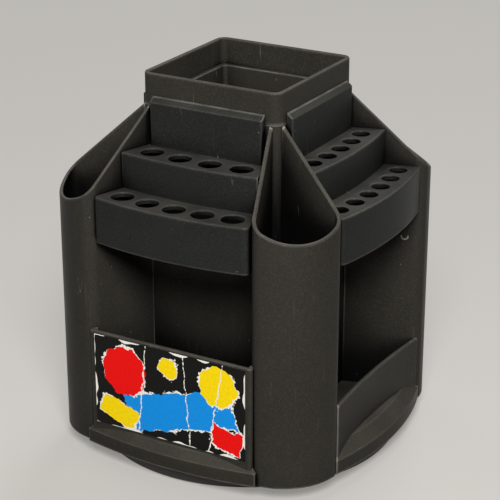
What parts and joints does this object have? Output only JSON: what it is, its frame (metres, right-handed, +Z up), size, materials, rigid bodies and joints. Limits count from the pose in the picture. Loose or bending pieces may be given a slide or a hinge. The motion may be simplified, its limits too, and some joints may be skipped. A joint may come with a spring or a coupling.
{
  "type": "tool storage caddy",
  "caption": "Turning desk caddy for drawing and model-making tools: a square tower with an open top tray, stepped racks of holes, deep corner pockets and side bins on a round base.",
  "frame": {"origin": "on the turning axis, at the surface that the feet stand on", "axes": "+Z up along the turning axis; the bin with the label faces -Y and +X is to its right"},
  "size_m": [0.1396, 0.1396, 0.162],
  "materials": {
    "black_plastic": "moulded, fine satin texture",
    "base_plastic": "moulded, plain",
    "printed_label": "printed sticker, semi-gloss",
    "natural_plastic": "moulded, unpigmented",
    "bright_steel": "polished",
    "plated_steel": "zinc plated",
    "foot_rubber": "matt"
  },
  "bodies": {
    "base": {"turntable_base": "base_plastic", "foot_pad_1": "foot_rubber", "foot_pad_2": "foot_rubber", "foot_pad_3": "foot_rubber", "foot_pad_4": "foot_rubber", "pivot_washer": "plated_steel", "pivot_screw": "plated_steel"},
    "ball_ring": {"ball_cage": "natural_plastic", "bearing_balls": "bright_steel"},
    "carousel": {"deck": "black_plastic", "tower": "black_plastic", "top_tray": "black_plastic", "label": "printed_label", "pivot_bush": "natural_plastic", "deck_screws": "plated_steel", "pocket_front_right": "black_plastic", "pocket_back_right": "black_plastic", "pocket_back_left": "black_plastic", "pocket_front_left": "black_plastic", "bin_front": "black_plastic", "rack_front": "black_plastic", "bin_right": "black_plastic", "rack_right": "black_plastic", "bin_back": "black_plastic", "rack_back": "black_plastic", "bin_left": "black_plastic", "rack_left": "black_plastic"}
  },
  "joints": [
    {"name": "carousel_spin", "type": "hinge", "parent": "base", "child": "carousel", "pos_m": [0, 0, 0], "axis": [0, 0, 1], "continuous": true},
    {"name": "ball_ring_spin", "type": "hinge", "parent": "base", "child": "ball_ring", "pos_m": [0, 0, 0], "axis": [0, 0, 1], "continuous": true}
  ],
  "couplings": [
    {"joint": "ball_ring_spin", "follows": "carousel_spin", "ratio": 0.5}
  ]
}
